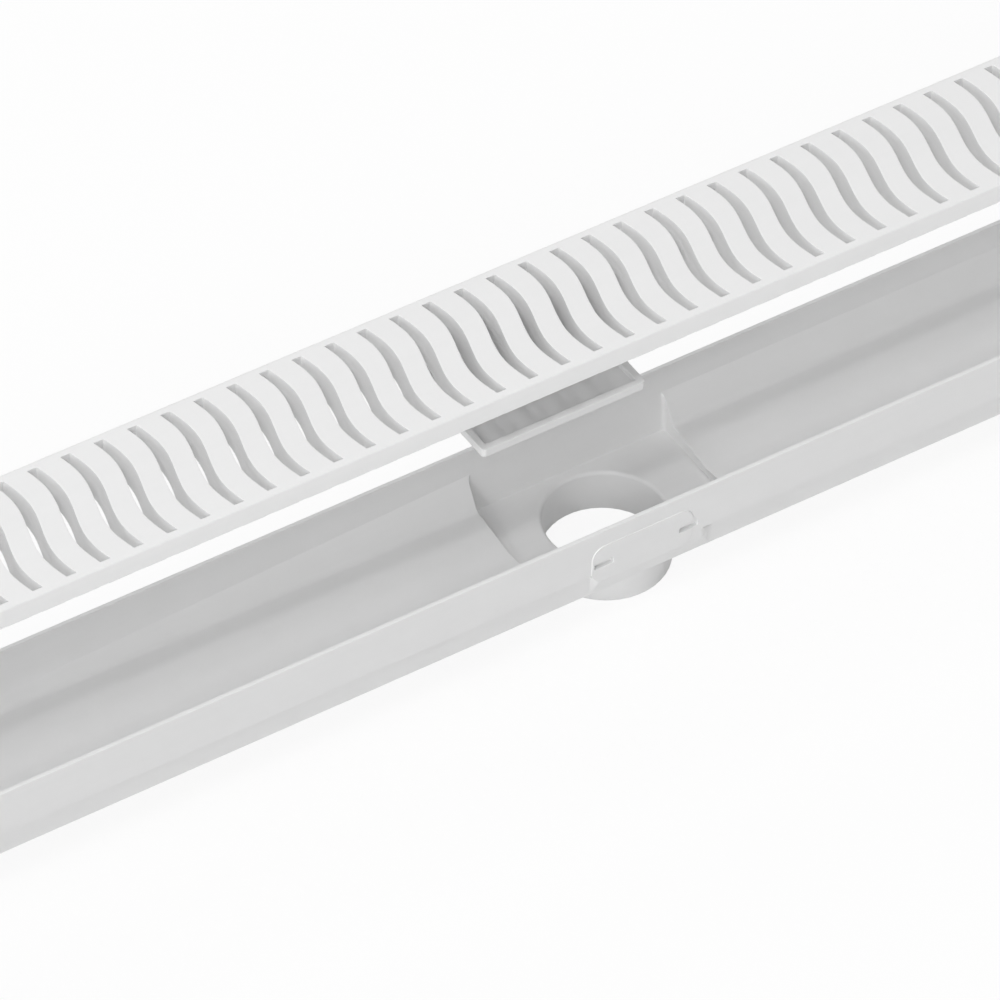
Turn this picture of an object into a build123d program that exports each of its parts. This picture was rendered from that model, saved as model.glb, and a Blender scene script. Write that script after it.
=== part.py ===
from build123d import *
from math import cos, pi, sin
import os

# Linear channel drain for a wet floor, in millimetres.
# It has three pieces: the moulded channel with its sump and outlet, a slotted grate,
# and a shallow tray that lies in the sump above the outlet.
# The origin is on the outlet's axis, at the lower rim of the outlet spigot.
# X runs along the channel, Z points up, and the face with the plain pad looks along -Y.

# Channel, lengthwise and across
channel_length = 700.0
channel_width = 62.5
rim_wall = 1.8
end_wall = 2.0
trough_wall = 2.0
rim_edge = 0.4

# Inner section: upright wall, sloped shoulder, soft bend and a shallow V that falls towards the sump
rim_depth = 12.3
shoulder_run = 7.5
shoulder_drop = 12.0
bend_radius = 3.5
floor_drop = 3.1
trough_fall = 2.3

# Outer section: upright face, then a recessed skirt down to the underside
face_height = 20.6
skirt_recess = 1.6
skirt_wall = 2.0
body_depth = 31.8

# Sump, with upright ends and sides that draw in towards its floor
sump_length = 86.2
sump_shift = 1.0
sump_side_draft = 1.8
sump_corner = 1.5
sump_floor_wall = 1.5

# Outlet spigot, to suit a 50 mm drain pipe
spigot_diameter = 50.7
spigot_wall = 1.85
spigot_length = 17.1
spigot_edge = 0.5
outlet_round = 1.5

# Flush stretch of the face in front of the outlet, with soft ends and a lower edge that slopes back
flush_length = 48.0
flush_ramp = 6.0
flush_depth = 25.4

# Plain pad on that stretch and two pockets
pad_length = 44.0
pad_height = 17.8
pad_centre = -5.0
pad_below_rim = 16.1
pad_rise = 0.35
pad_corner = 5.6
pocket_length = 7.9
pocket_height = 2.6
pocket_depth = 1.4
pocket_spacing = 37.0
pocket_centre = -3.3
pocket_below_rim = 16.5

# Grate
grate_clearance = 0.35
grate_end_clearance = 0.5
grate_side = 8.6
grate_edge = 0.5
bar_depth = 12.9
bar_inset = 0.5
end_margin = 3.2
side_margin = 3.1
slot_pitch = 13.635
slot_swing = 2.7
slot_wave = 53.0
slot_end_width = 3.95
slot_mid_width = 4.9
slot_stations = 13

# Tray
tray_length = 69.5
tray_width = 56.8
tray_height = 3.6
tray_floor = 1.2
tray_rim = 2.8
tray_corner = 1.6
tray_edge = 0.3

# The pieces are shown lifted apart, as the drain is pictured.
# With the two lifts and the two shifts at zero, each piece lies on its seat.
grate_lift = 92.4
grate_shift = -3.7
tray_lift = 83.8
tray_shift = -39.6

# Levels and half widths that follow from the sizes above
rim_top = spigot_length + body_depth
underside = spigot_length
shoulder_level = rim_top - rim_depth
sump_floor = underside + sump_floor_wall
inner_half = channel_width / 2 - rim_wall
skirt_half = channel_width / 2 - skirt_recess
inner_length = channel_length - 2 * end_wall
shoulder_slope = shoulder_run / shoulder_drop
side_slope = sump_side_draft / (shoulder_level - sump_floor)
flush_outer = (flush_length + flush_ramp) / 2
flush_inner = (flush_length - flush_ramp) / 2

# Stations of the trough along X and its floor's rise there, on each side of the sump
trough_start = sump_length / 2 - sump_corner
trough_runs = [
    ((sump_shift + side * trough_start, 0), (side * inner_length / 2, trough_fall))
    for side in (-1, 1)
]


def trough_outline(rise):
    """Corners of the trough's inner section, where its floor lies higher by rise."""
    drop = shoulder_drop - rise
    foot = inner_half - drop * shoulder_slope
    middle = shoulder_level - drop - floor_drop
    return [
        (-inner_half, shoulder_level),
        (-foot, shoulder_level - drop),
        (0, middle),
        (foot, shoulder_level - drop),
        (inner_half, shoulder_level),
    ]


# Channel: one moulding with rim, trough, sump, skirts, pad and outlet spigot
with BuildPart() as channel:
    # Solid block with its recessed skirts
    with BuildSketch(Plane.YZ.offset(-channel_length / 2)):
        with Locations((0, rim_top)):
            Rectangle(channel_width, face_height, align=(Align.CENTER, Align.MAX))
        with Locations((0, underside)):
            Rectangle(2 * skirt_half, body_depth, align=(Align.CENTER, Align.MIN))
    extrude(amount=channel_length)

    # Hollow underside between the skirts and the end walls
    with BuildSketch(Plane.XY.offset(underside)):
        Rectangle(inner_length, 2 * (skirt_half - skirt_wall))
    extrude(amount=body_depth - rim_depth - trough_wall, mode=Mode.SUBTRACT)

    # Trough wall, from the sump to each end
    for run in trough_runs:
        for along, rise in run:
            with BuildSketch(Plane.YZ.offset(along)) as wall_section:
                with BuildLine():
                    Polyline(*trough_outline(rise), close=True)
                make_face()
                offset(amount=trough_wall, kind=Kind.INTERSECTION)
                fillet(wall_section.vertices().group_by(Axis.Y)[1], bend_radius + trough_wall)
                with Locations((0, shoulder_level)):
                    Rectangle(channel_width, rim_depth, align=(Align.CENTER, Align.MIN), mode=Mode.SUBTRACT)
                    Rectangle(2 * skirt_half, body_depth, align=(Align.CENTER, Align.MAX), mode=Mode.INTERSECT)
        loft(ruled=True)

    # Sump box between the skirts
    with BuildSketch(Plane.XY.offset(underside)):
        with Locations((sump_shift, 0)):
            Rectangle(sump_length + 2 * trough_wall, 2 * skirt_half)
    extrude(amount=shoulder_level - underside)

    # Space inside the rim
    with BuildSketch(Plane.XY.offset(shoulder_level)):
        Rectangle(inner_length, 2 * inner_half)
    extrude(amount=rim_depth, mode=Mode.SUBTRACT)

    # Space inside the trough
    for run in trough_runs:
        for along, rise in run:
            with BuildSketch(Plane.YZ.offset(along)) as space_section:
                with BuildLine():
                    Polyline(*trough_outline(rise), close=True)
                make_face()
                fillet(space_section.vertices().group_by(Axis.Y)[1], bend_radius)
        loft(ruled=True, mode=Mode.SUBTRACT)

    # Space inside the sump, narrower towards its floor
    for level, draft in ((shoulder_level, 0), (sump_floor, sump_side_draft)):
        with BuildSketch(Plane.XY.offset(level)):
            with Locations((sump_shift, 0)):
                RectangleRounded(sump_length, 2 * (inner_half - draft), sump_corner)
    loft(ruled=True, mode=Mode.SUBTRACT)

    # Stretch of the face that runs on down in front of the outlet, with a soft ramp at each end
    with BuildSketch(Plane.XY.offset(underside)):
        with BuildLine():
            left_ramp = Spline(
                (-flush_outer, -skirt_half), (-flush_inner, -channel_width / 2), tangents=[(1, 0), (1, 0)]
            )
            Line(left_ramp @ 1, (flush_inner, -channel_width / 2))
            right_ramp = Spline(
                (flush_inner, -channel_width / 2), (flush_outer, -skirt_half), tangents=[(1, 0), (1, 0)]
            )
            Line(right_ramp @ 1, left_ramp @ 0)
        make_face()
    extrude(amount=body_depth - face_height)

    # Lower edge of that stretch, sloped back to the skirt
    with BuildSketch(Plane.YZ.offset(-flush_outer)):
        with BuildLine():
            Polyline(
                (-channel_width / 2, rim_top - flush_depth),
                (-channel_width / 2, underside),
                (-skirt_half, underside),
                close=True,
            )
        make_face()
    extrude(amount=2 * flush_outer, mode=Mode.SUBTRACT)

    # Rounded rim
    fillet(channel.edges().group_by(Axis.Z)[-1], rim_edge)

    # Plain raised pad, and the pockets at its ends
    with BuildSketch(Plane.XZ.offset(skirt_half)):
        with Locations((pad_centre, rim_top - pad_below_rim)):
            RectangleRounded(pad_length, pad_height, pad_corner)
    extrude(amount=skirt_recess + pad_rise)
    with BuildSketch(Plane.XZ.offset(channel_width / 2 + pad_rise)):
        with Locations((pocket_centre, rim_top - pocket_below_rim)):
            with GridLocations(pocket_spacing, 0, 2, 1):
                Rectangle(pocket_length, pocket_height)
    extrude(amount=-(pad_rise + pocket_depth), mode=Mode.SUBTRACT)

    # Outlet spigot and its bore
    with BuildSketch(Plane.XY):
        Circle(spigot_diameter / 2)
    extrude(amount=spigot_length)
    chamfer(channel.edges().group_by(Axis.Z)[0], spigot_edge)
    with BuildSketch(Plane.XY):
        Circle(spigot_diameter / 2 - spigot_wall)
    extrude(amount=sump_floor, mode=Mode.SUBTRACT)
    mouth = channel.edges().filter_by(GeomType.CIRCLE).filter_by_position(
        Axis.Z, sump_floor - rim_edge, sump_floor + rim_edge
    ).sort_by(SortBy.RADIUS)[-1]
    fillet(mouth, outlet_round)

channel.part.label = "channel"

# Grate sizes and levels: it fits inside the rim, and its side rails lie on the trough's shoulders
grate_length = inner_length - 2 * grate_end_clearance
grate_width = 2 * (inner_half - grate_clearance)
grate_seat = shoulder_level - grate_clearance / shoulder_slope
grate_base = grate_seat + grate_lift
grate_top = grate_base + grate_side
slot_reach = grate_width - 2 * side_margin
slot_count = int((grate_length - 2 * end_margin) / slot_pitch)

# Slot outline: a wave across the grate, a little wider in its middle than at its ends
station_pitch = slot_reach / (slot_stations - 1)
stations = [i * station_pitch - slot_reach / 2 for i in range(slot_stations)]


def slot_edge(side):
    """Points along one long edge of a slot, with side -1 or 1."""
    points = []
    for y in stations:
        centre = slot_swing * sin(2 * pi * y / slot_wave)
        swell = (slot_mid_width - slot_end_width) * cos(pi * y / slot_reach) ** 2
        points.append((centre + side * (slot_end_width + swell) / 2, y))
    return points


with BuildSketch() as slot:
    with BuildLine():
        left = Spline(*slot_edge(-1))
        right = Spline(*slot_edge(1))
        Line(left @ 0, right @ 0)
        Line(left @ 1, right @ 1)
    make_face()

# Grate: side rails and deeper waved bars in one moulding
with BuildPart() as grate:
    with BuildSketch(Plane.XY.offset(grate_base)):
        with Locations((grate_shift, 0)):
            Rectangle(grate_length, grate_width)
    extrude(amount=grate_side)
    fillet(grate.edges().group_by(Axis.Z)[-1], grate_edge)
    with BuildSketch(Plane.XY.offset(grate_base)):
        with Locations((grate_shift, 0)):
            Rectangle(grate_length - 2 * end_margin, slot_reach - 2 * bar_inset)
    extrude(amount=grate_side - bar_depth)
    with BuildSketch(Plane.XY.offset(grate_top)):
        with Locations((grate_shift, 0)):
            with GridLocations(slot_pitch, 0, slot_count, 1):
                add(slot.sketch)
    extrude(amount=-bar_depth, mode=Mode.SUBTRACT)

grate.part.label = "grate"

# Tray: shallow pan that the sloped sides of the sump carry
tray_seat = shoulder_level - (inner_half - tray_width / 2) / side_slope
tray_base = tray_seat + tray_lift

with BuildPart() as tray:
    with BuildSketch(Plane.XY.offset(tray_base)):
        with Locations((tray_shift, 0)):
            RectangleRounded(tray_length, tray_width, tray_corner)
    extrude(amount=tray_height)
    with BuildSketch(Plane.XY.offset(tray_base + tray_height)):
        with Locations((tray_shift, 0)):
            Rectangle(tray_length - 2 * tray_rim, tray_width - 2 * tray_rim)
    extrude(amount=tray_floor - tray_height, mode=Mode.SUBTRACT)
    fillet(tray.edges().group_by(Axis.Z)[-1], tray_edge)

tray.part.label = "sump_tray"

os.makedirs("parts", exist_ok=True)
export_step(channel.part, "parts/channel.step")
export_step(grate.part, "parts/grate.step")
export_step(tray.part, "parts/sump_tray.step")
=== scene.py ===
"""Looks of a linear channel drain: moulded channel, waved-slot grate and sump tray, on a pale floor.

Sizes are in metres, in the frame of the packed part: X along the channel, Z up, and the origin on
the outlet's axis at the lower rim of its spigot.
"""

from math import cos, pi, radians, sin, tan

import bmesh
import bpy
from bpy.props import FloatProperty, FloatVectorProperty, IntProperty, PointerProperty
from bpy.types import Operator, Panel, PropertyGroup
from mathutils import Matrix, Vector


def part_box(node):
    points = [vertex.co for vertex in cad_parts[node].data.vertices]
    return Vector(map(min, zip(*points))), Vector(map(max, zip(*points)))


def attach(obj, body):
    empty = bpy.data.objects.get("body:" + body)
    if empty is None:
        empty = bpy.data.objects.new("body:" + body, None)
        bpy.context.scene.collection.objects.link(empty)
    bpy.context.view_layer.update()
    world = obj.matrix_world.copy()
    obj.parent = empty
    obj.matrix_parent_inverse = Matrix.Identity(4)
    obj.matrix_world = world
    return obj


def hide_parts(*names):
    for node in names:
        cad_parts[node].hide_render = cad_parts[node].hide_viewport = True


bl_info = {
    "name": "Channel Drain",
    "version": (1, 0, 0),
    "blender": (4, 5, 0),
    "location": "View3D > Sidebar > Drain",
    "description": "Builds the finish of a channel drain, its grate and its sump tray",
    "category": "Add Mesh",
}

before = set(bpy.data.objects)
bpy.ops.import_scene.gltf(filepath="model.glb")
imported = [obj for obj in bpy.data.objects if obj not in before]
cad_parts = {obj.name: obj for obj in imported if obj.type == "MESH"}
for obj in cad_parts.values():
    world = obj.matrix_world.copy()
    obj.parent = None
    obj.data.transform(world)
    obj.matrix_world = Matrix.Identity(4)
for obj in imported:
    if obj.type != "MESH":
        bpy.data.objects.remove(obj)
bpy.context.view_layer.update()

CHANNEL_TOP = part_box("channel")[1].z
GRATE_LOW, GRATE_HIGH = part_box("grate")
WHITE = (1.0, 1.0, 1.0, 1.0)


# Socket expressions


class Field:
    """A node socket that takes part in Python arithmetic: each operator adds its Math node."""

    def __init__(self, graph, socket):
        self.graph = graph
        self.socket = socket

    def math(self, operation, *others):
        """One Math node on this value and the others."""
        return self.graph.math(operation, self, *others)

    def __add__(self, other):
        return self.graph.math("ADD", self, other)

    def __radd__(self, other):
        return self.graph.math("ADD", other, self)

    def __sub__(self, other):
        return self.graph.math("SUBTRACT", self, other)

    def __rsub__(self, other):
        return self.graph.math("SUBTRACT", other, self)

    def __mul__(self, other):
        return self.graph.math("MULTIPLY", self, other)

    def __rmul__(self, other):
        return self.graph.math("MULTIPLY", other, self)

    def __truediv__(self, other):
        return self.graph.math("DIVIDE", self, other)

    def __rtruediv__(self, other):
        return self.graph.math("DIVIDE", other, self)


class Graph:
    """A node tree that is filled by calls: every node comes from the one method add."""

    def __init__(self, tree):
        self.tree = tree

    def add(self, kind, settings=None, values=None):
        """A node of that type, with its settings first and then the values or links of its sockets."""
        node = self.tree.nodes.new(kind)
        for name, value in (settings or {}).items():
            setattr(node, name, value)
        for key, value in (values or {}).items():
            socket = node.inputs[key]
            if isinstance(value, Field):
                self.tree.links.new(value.socket, socket)
            elif isinstance(value, bpy.types.NodeSocket):
                self.tree.links.new(value, socket)
            else:
                socket.default_value = value
        return node

    def field(self, node, output=0):
        """An output of a node, ready for arithmetic."""
        return Field(self, node.outputs[output])

    def math(self, operation, *values):
        """The result of a Math node on fields or numbers."""
        node = self.add("ShaderNodeMath", {"operation": operation}, dict(enumerate(values)))
        return self.field(node)


# Settings


class DrainGrateSettings(PropertyGroup):
    """Sizes of the grate's waved slots and bars."""

    slot_pitch: FloatProperty(
        name="Slot Pitch", description="Distance from one slot to the next",
        default=0.013635, min=0.005, unit="LENGTH", precision=5,
    )
    end_margin: FloatProperty(
        name="End Margin", description="Least width of the solid bar at each end",
        default=0.0032, min=0.001, unit="LENGTH", precision=4,
    )
    side_margin: FloatProperty(
        name="Side Margin", description="Width of the side rails",
        default=0.0031, min=0.001, unit="LENGTH", precision=4,
    )
    side_depth: FloatProperty(
        name="Side Depth", description="Height of the side rails",
        default=0.0086, min=0.001, unit="LENGTH", precision=4,
    )
    bar_depth: FloatProperty(
        name="Bar Depth", description="Height of the waved bars between the slots",
        default=0.0129, min=0.001, unit="LENGTH", precision=4,
    )
    bar_inset: FloatProperty(
        name="Bar Inset", description="Step from a slot's end to the deeper part of the bars",
        default=0.0005, min=0.0001, unit="LENGTH", precision=4,
    )
    slot_swing: FloatProperty(
        name="Slot Swing", description="How far a slot's middle line swings to each side",
        default=0.00255, min=0.0, unit="LENGTH", precision=5,
    )
    slot_wave: FloatProperty(
        name="Slot Wave Length", description="Length of the slots' wave across the grate",
        default=0.056, min=0.01, unit="LENGTH", precision=4,
    )
    slot_end_width: FloatProperty(
        name="Slot End Width", description="Width of a slot at its ends",
        default=0.00395, min=0.001, unit="LENGTH", precision=4,
    )
    slot_mid_width: FloatProperty(
        name="Slot Middle Width", description="Width of a slot in its middle",
        default=0.0049, min=0.001, unit="LENGTH", precision=4,
    )
    rows: IntProperty(
        name="Rows", description="Rows of faces along a slot, an even number",
        default=34, min=8, max=80, subtype="UNSIGNED",
    )
    edge: FloatProperty(
        name="Soft Edge", description="Radius of the soft outer edges of the grate",
        default=0.0007, min=0.0, unit="LENGTH", precision=5,
    )
    slot_edge_share: FloatProperty(
        name="Slot Edge Share", description="Radius of the slots' edges as a share of the outer one",
        subtype="FACTOR", default=0.22, min=0.0, max=1.0,
    )


class DrainFinishSettings(PropertyGroup):
    """Colours and surface of the moulded plastic."""

    channel_colour: FloatVectorProperty(
        name="Channel Colour", description="Colour of the channel's plastic",
        subtype="COLOR", size=3, default=(0.80, 0.80, 0.80), min=0.0, max=1.0,
    )
    grate_colour: FloatVectorProperty(
        name="Grate Colour", description="Colour of the grate's plastic",
        subtype="COLOR", size=3, default=(0.86, 0.86, 0.86), min=0.0, max=1.0,
    )
    tray_colour: FloatVectorProperty(
        name="Tray Colour", description="Colour of the sump tray's plastic",
        subtype="COLOR", size=3, default=(0.71, 0.71, 0.71), min=0.0, max=1.0,
    )
    roughness: FloatProperty(
        name="Roughness", description="Roughness of the moulded surface",
        subtype="FACTOR", default=0.48, min=0.0, max=1.0,
    )
    # Painted shade: the slots' walls are coloured darker deeper down, in place of the shade that falls in the
    # slots
    painted_slot_shade: FloatProperty(
        name="Slot Shade", description="How much darker the plastic is at the bottom of the slots' walls",
        subtype="FACTOR", default=0.15, min=0.0, max=1.0,
    )
    slot_shade_start: FloatProperty(
        name="Slot Shade Start", description="Depth below the grate's top at which the slots' shade starts",
        default=0.0055, min=0.0, unit="LENGTH", precision=4,
    )
    moulding_edge: FloatProperty(
        name="Moulding Edge", description="Radius of the soft edges of the channel and the tray",
        default=0.0003, min=0.0, unit="LENGTH", precision=5,
    )


class DrainStageSettings(PropertyGroup):
    """Camera, lamps and floor."""

    azimuth: FloatProperty(
        name="Azimuth", description="Direction that the camera stands in, from the front",
        subtype="ANGLE", default=radians(-34.14),
    )
    elevation: FloatProperty(
        name="Elevation", description="Height of the camera above the horizon",
        subtype="ANGLE", default=radians(44.50),
    )
    roll: FloatProperty(
        name="Roll", description="Turn of the camera about its own axis",
        subtype="ANGLE", default=radians(2.03),
    )
    distance: FloatProperty(
        name="Distance", description="Distance from the camera to its target",
        unit="LENGTH", default=3.3079,
    )
    lens: FloatProperty(
        name="Lens", description="Focal length in millimetres on a 36 mm sensor",
        subtype="DISTANCE_CAMERA", default=327.4,
    )
    target: FloatVectorProperty(
        name="Target", description="Point that the camera looks at, from the rim of the channel",
        subtype="TRANSLATION", size=3, default=(-0.04572, 0.00209, 0.0),
    )
    lamp_distance: FloatProperty(
        name="Lamp Distance", description="Distance from the lamps to the drain",
        unit="LENGTH", default=12.0, min=1.0,
    )
    lamp_level: FloatProperty(
        name="Lamp Level", description="Level of all the lamps together",
        subtype="FACTOR", default=1.0, min=0.0,
    )
    sky_level: FloatProperty(
        name="Sky Level", description="Level of the even light from all round",
        default=0.148, min=0.0, subtype="FACTOR",
    )
    floor_shadow: FloatProperty(
        name="Floor Shadow", description="How much of its true shading the floor shows",
        subtype="FACTOR", default=0.1, min=0.0, max=1.0,
    )


GROUPS = (
    ("drain_grate", DrainGrateSettings),
    ("drain_finish", DrainFinishSettings),
    ("drain_stage", DrainStageSettings),
)


# Mesh helpers


# Corners nearer than this are one, in a copied CAD mesh and in the grate's own
CAD_WELD = 2e-6
GRATE_WELD = 1e-6
# Faces of a copied CAD mesh that turn by less than this are one flat face
FLAT_TURN = radians(0.5)
# Edges whose faces turn by more than this are made soft
SHARP_TURN = radians(40)
# An edge this near to the sides of a piece's box is an outer one
OUTER_REACH = 1e-5
# Sine of the least angle at which a corner lies beside an edge and not in line with it
BESIDE_SINE = 0.3
# Room of an edge with no corner beside it, far more than any radius
OPEN_ROOM = 1.0
# A soft edge takes at most this share of its room, in this many steps
ROOM_SHARE = 0.45
EDGE_STEPS = 3


def plain_mesh(piece):
    """The piece's evaluated mesh takes the place of its modifiers."""
    depsgraph = bpy.context.evaluated_depsgraph_get()
    finished = bpy.data.meshes.new_from_object(piece.evaluated_get(depsgraph), depsgraph=depsgraph)
    piece.modifiers.clear()
    old = piece.data
    piece.data = finished
    bpy.data.meshes.remove(old)
    finished.name = piece.name
    return piece


def edge_room(edge):
    """Distance from this edge to the nearest corner across one of its two faces."""
    start = edge.verts[0].co
    run = edge.verts[1].co - start
    length = run.length
    run.normalize()
    room = OPEN_ROOM
    for vert in {vert for face in edge.link_faces for vert in face.verts}.difference(edge.verts):
        along = min(max((vert.co - start).dot(run), 0.0), length)
        away = vert.co - start - run * along
        if run.cross(away).length > BESIDE_SINE * away.length:
            room = min(room, away.length)
    return room


def soften(piece, radius, share=1.0):
    """Rounds the sharp edges where there is room: the upper outer ones by the radius, the rest by a share."""
    piece.data.shade_smooth()
    corners = [Vector(corner) for corner in piece.bound_box]
    low, high = corners[0], corners[6]
    shape = bmesh.new()
    shape.from_mesh(piece.data)
    weight = shape.edges.layers.float.new("bevel_weight_edge")
    for edge in shape.edges:
        if not edge.is_manifold or edge.calc_face_angle() < SHARP_TURN:
            continue
        middle = (edge.verts[0].co + edge.verts[1].co) / 2
        to_sides = (middle.x - low.x, high.x - middle.x, middle.y - low.y, high.y - middle.y)
        upper = middle.z > (low.z + high.z) / 2
        wanted = 1.0 if upper and min(to_sides) < OUTER_REACH else share
        edge[weight] = min(wanted, edge_room(edge) * ROOM_SHARE / radius)
    shape.to_mesh(piece.data)
    shape.free()
    rounding = piece.modifiers.new("Soft Edges", "BEVEL")
    rounding.width = radius
    rounding.segments = EDGE_STEPS
    rounding.limit_method = "WEIGHT"
    rounding.use_clamp_overlap = False
    rounding.miter_outer = "MITER_ARC"
    shading = piece.modifiers.new("Even Shading", "WEIGHTED_NORMAL")
    shading.keep_sharp = True
    return plain_mesh(piece)


def new_piece(name, data):
    """A new object at the origin, with that mesh, light or camera."""
    piece = bpy.data.objects.new(name, data)
    bpy.context.scene.collection.objects.link(piece)
    return piece


def merged_copy(node, name):
    """A copy of a CAD node's mesh, with its doubles merged and its flat faces made whole."""
    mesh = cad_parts[node].data.copy()
    mesh.name = name
    mesh.materials.clear()
    shape = bmesh.new()
    shape.from_mesh(mesh)
    bmesh.ops.remove_doubles(shape, verts=shape.verts, dist=CAD_WELD)
    bmesh.ops.dissolve_limit(
        shape, angle_limit=FLAT_TURN, verts=shape.verts, edges=shape.edges, use_dissolve_boundaries=False,
    )
    shape.to_mesh(mesh)
    shape.free()
    return new_piece(name, mesh)


# Materials


# Noise of the plastic, in waves per metre: soft clouds, flow marks drawn out along the drain, and grain
CLOUD_SCALE = 60.0
FLOW_SCALE = 260.0
FLOW_STRETCH = 0.12
GRAIN_SCALE = 2600.0
CLOUD_DETAIL = 4.0
FINE_DETAIL = 2.0
# Tone of the plastic, and how far the noise moves it; grain above a start shows as specks
EVEN_TONE = 0.985
CLOUD_TONE = 0.035
FLOW_TONE = 0.02
SPECK_START = 0.62
SPECK_TONE = 0.15
# How far the noise moves the roughness
GRAIN_ROUGHNESS = 0.08
CLOUD_ROUGHNESS = 0.06
# Relief of the surface: its height in metres, its strength, and the shares of grain and flow marks
RELIEF_HEIGHT = 0.00004
RELIEF_STRENGTH = 0.3
RELIEF_GRAIN = 0.7
RELIEF_FLOW = 0.3
PLASTIC_IOR = 1.49
PLASTIC_SPECULAR = 0.4


def empty_graph(owner):
    """The node tree of a material or a world, emptied."""
    owner.use_nodes = True
    owner.node_tree.nodes.clear()
    return Graph(owner.node_tree)


def noise(graph, place, scale, detail):
    """Soft noise between 0 and 1, even about a half."""
    return graph.field(graph.add(
        "ShaderNodeTexNoise", None, {"Vector": place, "Scale": scale, "Detail": detail},
    ))


def moulded_plastic(name, colour, roughness, painted_shade_at=None):
    """Moulded plastic: fine grain, faint flow marks, an uneven sheen, and painted shade from
    painted_shade_at.
    """
    material = bpy.data.materials.new(name)
    graph = empty_graph(material)
    place = graph.add("ShaderNodeTexCoord").outputs["Object"]
    stretched = graph.add("ShaderNodeMapping", None, {"Vector": place, "Scale": (FLOW_STRETCH, 1.0, 1.0)})
    cloud = noise(graph, place, CLOUD_SCALE, CLOUD_DETAIL)
    flow = noise(graph, stretched.outputs[0], FLOW_SCALE, FINE_DETAIL)
    grain = noise(graph, place, GRAIN_SCALE, FINE_DETAIL)
    speck = (grain - SPECK_START).math("MAXIMUM", 0.0)
    tone = EVEN_TONE + (cloud - 0.5) * CLOUD_TONE + (flow - 0.5) * FLOW_TONE - speck * SPECK_TONE
    # Painted shade: the tone is darkened where the rule gives it, standing in for shade
    if painted_shade_at:
        tone = tone - painted_shade_at(graph, place)
    shade = graph.add("ShaderNodeMix", {"data_type": "RGBA", "blend_type": "MULTIPLY"}, {
        "Factor": 1.0,
        "A": (*colour, 1.0),
    })
    grey = graph.add("ShaderNodeCombineColor", None, {"Red": tone, "Green": tone, "Blue": tone})
    graph.tree.links.new(grey.outputs[0], shade.inputs["B"])
    bump = graph.add("ShaderNodeBump", None, {
        "Strength": RELIEF_STRENGTH,
        "Distance": RELIEF_HEIGHT,
        "Height": grain * RELIEF_GRAIN + flow * RELIEF_FLOW,
    })
    surface = graph.add("ShaderNodeBsdfPrincipled", None, {
        "Base Color": shade.outputs["Result"],
        "Roughness": roughness + (grain - 0.5) * GRAIN_ROUGHNESS + (cloud - 0.5) * CLOUD_ROUGHNESS,
        "Normal": bump.outputs[0],
        "IOR": PLASTIC_IOR,
        "Specular IOR Level": PLASTIC_SPECULAR,
    })
    graph.add("ShaderNodeOutputMaterial", None, {"Surface": surface.outputs[0]})
    return material


# Channel


class DRAIN_OT_channel(Operator):
    """Makes the channel with soft edges and its moulded finish"""

    bl_idname = "drain.channel"
    bl_label = "Channel"

    def execute(self, context):
        finish = context.scene.drain_finish
        piece = merged_copy("channel", "channel_moulding")
        soften(piece, finish.moulding_edge)
        piece.data.materials.append(
            moulded_plastic("Channel Plastic", finish.channel_colour, finish.roughness)
        )
        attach(piece, "root")
        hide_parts("channel")
        return {"FINISHED"}


# Grate


# Columns of corners in a cell of the grate: cell edge, slot edge, slot edge, cell edge
CELL_COLUMNS = 4
# Rows of faces beyond the bars' deeper part, to each side: the step to the slot's end, and the side rail
OUTER_ROWS = 2


def painted_slot_shade(sizes, finish):
    """Painted shade on the grate's plastic: darker down the slots' walls, between the side rails, in place of
    their shade.
    """
    start = GRATE_HIGH.z - finish.slot_shade_start
    deep = sizes.bar_depth - finish.slot_shade_start
    reach = GRATE_HIGH.y - sizes.side_margin

    def painted_shade_at(graph, place):
        spot = graph.add("ShaderNodeSeparateXYZ", None, {0: place})
        # Painted shade, darker the deeper below its start
        down = ((start - graph.field(spot, "Z")) / deep).math("MAXIMUM", 0.0)
        between_rails = graph.field(spot, "Y").math("ABSOLUTE").math("LESS_THAN", reach)
        return down * between_rails * finish.painted_slot_shade

    return painted_shade_at


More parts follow.
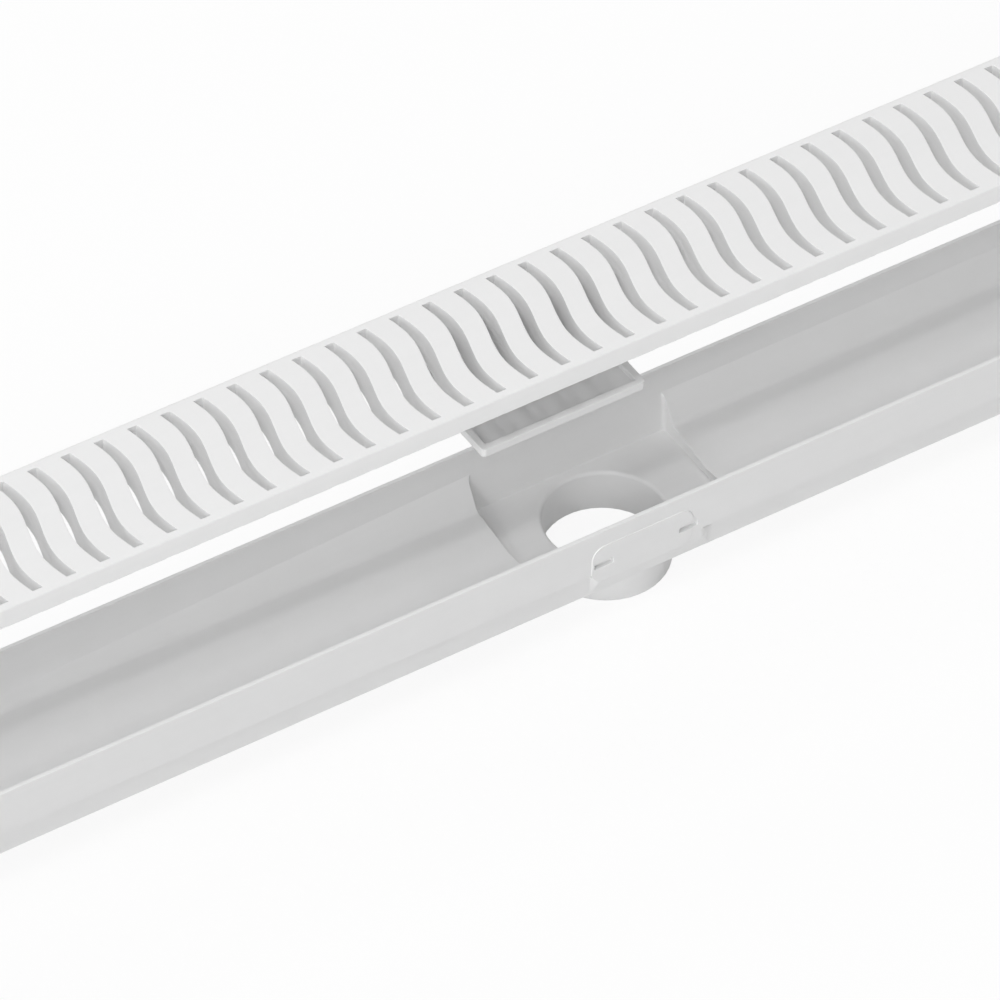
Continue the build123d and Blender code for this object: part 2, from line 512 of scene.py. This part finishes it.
def grate_tree():
    """Node tree of the grate's plate: waved slots in a row, the rails round them and the deeper bars."""
    tree = bpy.data.node_groups.new("Waved Grate", "GeometryNodeTree")
    tree.is_modifier = True
    tree.interface.new_socket("Geometry", in_out="OUTPUT", socket_type="NodeSocketGeometry")
    for name, kind in (
        ("Slot Count", "NodeSocketInt"),
        ("Rows", "NodeSocketInt"),
        ("Slot Pitch", "NodeSocketFloat"),
        ("Grate Length", "NodeSocketFloat"),
        ("Grate Width", "NodeSocketFloat"),
        ("Side Margin", "NodeSocketFloat"),
        ("Side Depth", "NodeSocketFloat"),
        ("Bar Depth", "NodeSocketFloat"),
        ("Bar Inset", "NodeSocketFloat"),
        ("Slot Swing", "NodeSocketFloat"),
        ("Slot Wave Length", "NodeSocketFloat"),
        ("Slot End Width", "NodeSocketFloat"),
        ("Slot Middle Width", "NodeSocketFloat"),
        ("Centre", "NodeSocketFloat"),
        ("Top", "NodeSocketFloat"),
        ("Plastic", "NodeSocketMaterial"),
    ):
        tree.interface.new_socket(name, in_out="INPUT", socket_type=kind)
    graph = Graph(tree)
    source = graph.add("NodeGroupInput")

    def given(name):
        return graph.field(source, name)

    pitch = given("Slot Pitch")
    rows = given("Rows")
    half_reach = given("Grate Width") / 2 - given("Side Margin")
    bar_half = half_reach - given("Bar Inset")
    index = graph.field(graph.add("GeometryNodeInputIndex"))

    # Row of corners to its place across the grate: side, slot end, bar step, then even rows between
    row = index.math("MODULO", rows + 1)
    from_middle = row - rows / 2
    bar_rows = rows / 2 - OUTER_ROWS
    even = (from_middle / bar_rows) * bar_half
    inner = even.math("MINIMUM", bar_half).math("MAXIMUM", 0 - bar_half)
    side = from_middle.math("SIGN")
    steps_out = from_middle.math("ABSOLUTE") - bar_rows
    at_slot_end = steps_out.math("GREATER_THAN", 0.5)
    at_side = steps_out.math("GREATER_THAN", 1.5)
    across = inner + side * (at_slot_end * given("Bar Inset") + at_side * given("Side Margin"))

    # Column of corners to its place along the grate, round the slot's waved middle line
    column = (index / (rows + 1)).math("FLOOR")
    wave = (across * (2 * pi) / given("Slot Wave Length")).math("SINE")
    inside = across.math("MINIMUM", half_reach).math("MAXIMUM", 0 - half_reach)
    middle = (inside * pi / (half_reach * 2)).math("COSINE")
    width = given("Slot End Width") + (given("Slot Middle Width") - given("Slot End Width")) * middle * middle
    from_slot = column - (CELL_COLUMNS - 1) / 2
    edge_side = from_slot.math("SIGN")
    on_edge = from_slot.math("ABSOLUTE").math("LESS_THAN", 1.0)
    slot_edge = given("Slot Swing") * wave + edge_side * width / 2
    along = on_edge * slot_edge + (1 - on_edge) * edge_side * pitch / 2

    def sheet(columns, x, y):
        """A grid of corners, moved to their places in the plane of the grate's top."""
        grid = graph.add("GeometryNodeMeshGrid", None, {"Vertices X": columns, "Vertices Y": rows + 1})
        place = graph.add("ShaderNodeCombineXYZ", None, {"X": x, "Y": y, "Z": given("Top")})
        return graph.add("GeometryNodeSetPosition", None, {
            "Geometry": grid.outputs["Mesh"],
            "Position": place.outputs[0],
        })

    # One cell with its slot cut out, repeated along the grate
    cell = sheet(CELL_COLUMNS, along, across)
    spot = graph.add("ShaderNodeSeparateXYZ", None, {0: graph.add("GeometryNodeInputPosition").outputs[0]})
    spot_x = graph.field(spot, "X")
    spot_y = graph.field(spot, "Y")
    face_wave = given("Slot Swing") * (spot_y * (2 * pi) / given("Slot Wave Length")).math("SINE")
    near_slot = (spot_x - face_wave).math("ABSOLUTE").math("LESS_THAN", given("Slot End Width") / 2)
    in_reach = spot_y.math("ABSOLUTE").math("LESS_THAN", half_reach)
    slotted = graph.add("GeometryNodeDeleteGeometry", {"domain": "FACE"}, {
        "Geometry": cell.outputs[0],
        "Selection": near_slot * in_reach,
    })
    run = (given("Slot Count") - 1) * pitch
    start = graph.add("ShaderNodeCombineXYZ", None, {"X": given("Centre") - run / 2})
    step = graph.add("ShaderNodeCombineXYZ", None, {"X": pitch})
    cells_line = graph.add("GeometryNodeMeshLine", None, {
        "Count": given("Slot Count"),
        "Start Location": start.outputs[0],
        "Offset": step.outputs[0],
    })
    cells = graph.add("GeometryNodeInstanceOnPoints", None, {
        "Points": cells_line.outputs[0],
        "Instance": slotted.outputs[0],
    })

    # Solid bar at each end, a sheet of two columns
    end_start = run / 2 + pitch / 2
    end_width = given("Grate Length") / 2 - end_start
    ends = []
    for end in (-1, 1):
        nearer = column.math("LESS_THAN", 0.5) if end > 0 else column.math("GREATER_THAN", 0.5)
        x = given("Centre") + end * (end_start + (1 - nearer) * end_width)
        ends.append(sheet(2, x, across))
    whole = graph.add("GeometryNodeJoinGeometry")
    for part in (cells, *ends):
        tree.links.new(part.outputs[0], whole.inputs[0])
    flat = graph.add("GeometryNodeRealizeInstances", None, {"Geometry": whole.outputs[0]})
    top_sheet = graph.add("GeometryNodeMergeByDistance", None, {
        "Geometry": flat.outputs[0],
        "Distance": GRATE_WELD,
    })

    # Rails and bars: the sheet pushed down, and the bars pushed down further
    down = graph.add("ShaderNodeCombineXYZ", None, {"Z": 0 - given("Side Depth")})
    rails = graph.add("GeometryNodeExtrudeMesh", None, {
        "Mesh": top_sheet.outputs[0],
        "Offset": down.outputs[0],
        "Offset Scale": 1.0,
        "Individual": False,
    })
    under = graph.field(rails, "Top")
    over_bars = spot_y.math("ABSOLUTE").math("LESS_THAN", bar_half)
    end_limit = given("Grate Length") / 2 - given("Side Margin")
    between_ends = (spot_x - given("Centre")).math("ABSOLUTE").math("LESS_THAN", end_limit)
    further = graph.add("ShaderNodeCombineXYZ", None, {"Z": given("Side Depth") - given("Bar Depth")})
    bars = graph.add("GeometryNodeExtrudeMesh", None, {
        "Mesh": rails.outputs["Mesh"],
        "Selection": under * over_bars * between_ends,
        "Offset": further.outputs[0],
        "Offset Scale": 1.0,
        "Individual": False,
    })
    turned = graph.add("GeometryNodeFlipFaces", None, {"Mesh": bars.outputs["Mesh"]})
    closed = graph.add("GeometryNodeJoinGeometry")
    tree.links.new(turned.outputs[0], closed.inputs[0])
    tree.links.new(top_sheet.outputs[0], closed.inputs[0])
    welded = graph.add("GeometryNodeMergeByDistance", None, {
        "Geometry": closed.outputs[0],
        "Distance": GRATE_WELD,
    })
    real = graph.add("GeometryNodeRealizeInstances", None, {"Geometry": welded.outputs[0]})
    finished = graph.add("GeometryNodeSetMaterial", None, {
        "Geometry": real.outputs[0],
        "Material": given("Plastic"),
    })
    graph.add("NodeGroupOutput", None, {0: finished.outputs[0]})
    return tree


def set_inputs(modifier, tree, values):
    """Sets the modifier's inputs by their sockets' identifiers."""
    for item in tree.interface.items_tree:
        if item.in_out == "INPUT" and item.name in values:
            modifier[item.identifier] = values[item.name]


class DRAIN_OT_grate(Operator):
    """Makes the grate with its waved slots"""

    bl_idname = "drain.grate"
    bl_label = "Grate"

    def execute(self, context):
        sizes = context.scene.drain_grate
        finish = context.scene.drain_finish
        length = GRATE_HIGH.x - GRATE_LOW.x
        plastic = moulded_plastic(
            "Grate Plastic", finish.grate_colour, finish.roughness, painted_slot_shade(sizes, finish),
        )
        piece = new_piece("grate_moulding", bpy.data.meshes.new("grate_moulding"))
        tree = grate_tree()
        modifier = piece.modifiers.new("Waved Grate", "NODES")
        modifier.node_group = tree
        set_inputs(modifier, tree, {
            "Slot Count": int((length - 2 * sizes.end_margin) / sizes.slot_pitch),
            "Rows": sizes.rows,
            "Slot Pitch": sizes.slot_pitch,
            "Grate Length": length,
            "Grate Width": GRATE_HIGH.y - GRATE_LOW.y,
            "Side Margin": sizes.side_margin,
            "Side Depth": sizes.side_depth,
            "Bar Depth": sizes.bar_depth,
            "Bar Inset": sizes.bar_inset,
            "Slot Swing": sizes.slot_swing,
            "Slot Wave Length": sizes.slot_wave,
            "Slot End Width": sizes.slot_end_width,
            "Slot Middle Width": sizes.slot_mid_width,
            "Centre": (GRATE_HIGH.x + GRATE_LOW.x) / 2,
            "Top": GRATE_HIGH.z,
            "Plastic": plastic,
        })
        plain_mesh(piece)
        if not piece.data.polygons:
            raise RuntimeError("the grate's node tree gave no faces")
        soften(piece, sizes.edge, sizes.slot_edge_share)
        # The node tree leaves an empty slot before the plastic's own
        piece.data.materials.clear()
        piece.data.materials.append(plastic)
        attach(piece, "root")
        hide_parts("grate")
        return {"FINISHED"}


# Sump tray


class DRAIN_OT_tray(Operator):
    """Makes the shallow tray of the sump"""

    bl_idname = "drain.tray"
    bl_label = "Sump Tray"

    def execute(self, context):
        finish = context.scene.drain_finish
        piece = merged_copy("sump_tray", "tray_moulding")
        soften(piece, finish.moulding_edge)
        piece.data.materials.append(
            moulded_plastic("Tray Plastic", finish.tray_colour, finish.roughness)
        )
        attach(piece, "root")
        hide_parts("sump_tray")
        return {"FINISHED"}


# Stage


FLOOR_COLOUR = (0.9, 0.9, 0.9, 1.0)
FLOOR_RADIUS = 8.0
FLOOR_SIDES = 96
# Width in millimetres of the sensor that the camera's lens is given for
SENSOR_WIDTH = 36.0
# The camera sees nothing beyond this distance
FAR_END = 50.0


def floor_material(shadow):
    """Pale floor that shows as white, with a share of the object's shadow."""
    material = bpy.data.materials.new("Floor")
    graph = empty_graph(material)
    matt = graph.add("ShaderNodeBsdfDiffuse", None, {"Color": FLOOR_COLOUR})
    white = graph.add("ShaderNodeEmission", None, {"Color": WHITE, "Strength": 1.0})
    rays = graph.add("ShaderNodeLightPath")
    seen = graph.field(rays, "Is Camera Ray").math("MAXIMUM", graph.field(rays, "Is Glossy Ray"))
    shown = seen.math("MAXIMUM", graph.field(rays, "Is Transmission Ray")) * (1 - shadow)
    blend = graph.add("ShaderNodeMixShader", None, {0: shown, 1: matt.outputs[0], 2: white.outputs[0]})
    graph.add("ShaderNodeOutputMaterial", None, {"Surface": blend.outputs[0]})
    return material


def light_world(level):
    """Even light from all round, which the camera sees as white."""
    world = bpy.data.worlds.new("Studio")
    graph = empty_graph(world)
    even = graph.add("ShaderNodeBackground", None, {"Color": WHITE, "Strength": level})
    white = graph.add("ShaderNodeBackground", None, {"Color": WHITE, "Strength": 1.0})
    rays = graph.add("ShaderNodeLightPath")
    blend = graph.add("ShaderNodeMixShader", None, {
        0: graph.field(rays, "Is Camera Ray"),
        1: even.outputs[0],
        2: white.outputs[0],
    })
    graph.add("ShaderNodeOutputWorld", None, {"Surface": blend.outputs[0]})
    return world


# Name, azimuth and elevation in degrees, apparent size in degrees, and level on a surface that faces it
LAMPS = (
    ("left_lamp", -75, 62, 9, 0.191),
    ("front_left_lamp", -60, 55, 9, 0.164),
    ("low_left_lamp", -60, 28, 9, 0.132),
    ("floor_left_lamp", -60, 15, 22, 0.164),
    ("front_lamp", -30, 40, 22, 0.215),
    ("top_lamp", 0, 88, 22, 0.098),
    ("back_lamp", 180, 40, 22, 0.172),
    ("back_right_lamp", 150, 55, 9, 0.101),
)


def direction(azimuth, elevation):
    """Unit vector towards a place seen from the drain, with azimuth 0 at its front."""
    return Vector((
        sin(azimuth) * cos(elevation),
        -cos(azimuth) * cos(elevation),
        sin(elevation),
    ))


def place_lamp(name, azimuth, elevation, size, level, distance):
    """A round lamp that lights a surface facing it at that level, where 1 shows a colour as written."""
    light = bpy.data.lights.new(name, "AREA")
    light.shape = "DISK"
    light.size = 2 * distance * tan(radians(size) / 2)
    light.energy = level * (pi * distance) ** 2
    lamp = new_piece(name, light)
    away = distance * direction(radians(azimuth), radians(elevation))
    turn = (-away).to_track_quat("-Z", "Y").to_matrix().to_4x4()
    lamp.matrix_world = Matrix.Translation(away + Vector((0.0, 0.0, CHANNEL_TOP))) @ turn


class DRAIN_OT_stage(Operator):
    """Makes the floor, the lamps and the camera"""

    bl_idname = "drain.stage"
    bl_label = "Stage"

    def execute(self, context):
        scene = context.scene
        stage = scene.drain_stage

        mesh = bpy.data.meshes.new("floor")
        shape = bmesh.new()
        bmesh.ops.create_circle(shape, cap_ends=True, segments=FLOOR_SIDES, radius=FLOOR_RADIUS)
        shape.to_mesh(mesh)
        shape.free()
        mesh.materials.append(floor_material(stage.floor_shadow))
        floor = new_piece("floor", mesh)

        scene.world = light_world(stage.sky_level)
        for name, azimuth, elevation, size, level in LAMPS:
            place_lamp(name, azimuth, elevation, size, level * stage.lamp_level, stage.lamp_distance)

        lens = bpy.data.cameras.new("camera")
        lens.lens = stage.lens
        lens.sensor_width = SENSOR_WIDTH
        lens.clip_end = FAR_END
        camera = new_piece("camera", lens)
        back = direction(stage.azimuth, stage.elevation)
        sideways = Vector((cos(stage.azimuth), sin(stage.azimuth), 0.0))
        upright = back.cross(sideways)
        right = cos(stage.roll) * sideways + sin(stage.roll) * upright
        up = cos(stage.roll) * upright - sin(stage.roll) * sideways
        target = Vector(stage.target) + Vector((0.0, 0.0, CHANNEL_TOP))
        turn = Matrix((right, up, back)).transposed().to_4x4()
        camera.matrix_world = Matrix.Translation(target + stage.distance * back) @ turn
        scene.camera = camera
        scene.view_settings.view_transform = "Standard"
        return {"FINISHED"}


# Panel and registration


class DRAIN_PT_panel(Panel):
    """Settings and buttons of the channel drain"""

    bl_idname = "DRAIN_PT_panel"
    bl_label = "Channel Drain"
    bl_space_type = "VIEW_3D"
    bl_region_type = "UI"
    bl_category = "Drain"

    def draw(self, context):
        layout = self.layout
        for name, group in GROUPS:
            box = layout.box()
            box.label(text=group.__doc__)
            for key in group.__annotations__:
                box.prop(getattr(context.scene, name), key)
        for operator in OPERATORS:
            layout.operator(operator.bl_idname)


OPERATORS = (DRAIN_OT_channel, DRAIN_OT_grate, DRAIN_OT_tray, DRAIN_OT_stage)


def register():
    """Registers the settings, the operators and the panel."""
    for name, group in GROUPS:
        bpy.utils.register_class(group)
        setattr(bpy.types.Scene, name, PointerProperty(type=group))
    for item in (*OPERATORS, DRAIN_PT_panel):
        bpy.utils.register_class(item)


def unregister():
    """Takes everything that register added out again."""
    for item in (DRAIN_PT_panel, *reversed(OPERATORS)):
        bpy.utils.unregister_class(item)
    for name, group in reversed(GROUPS):
        delattr(bpy.types.Scene, name)
        bpy.utils.unregister_class(group)


def main():
    """Builds the drain and its stage."""
    register()
    bpy.ops.drain.channel()
    bpy.ops.drain.grate()
    bpy.ops.drain.tray()
    bpy.ops.drain.stage()


if __name__ == "__main__":
    main()
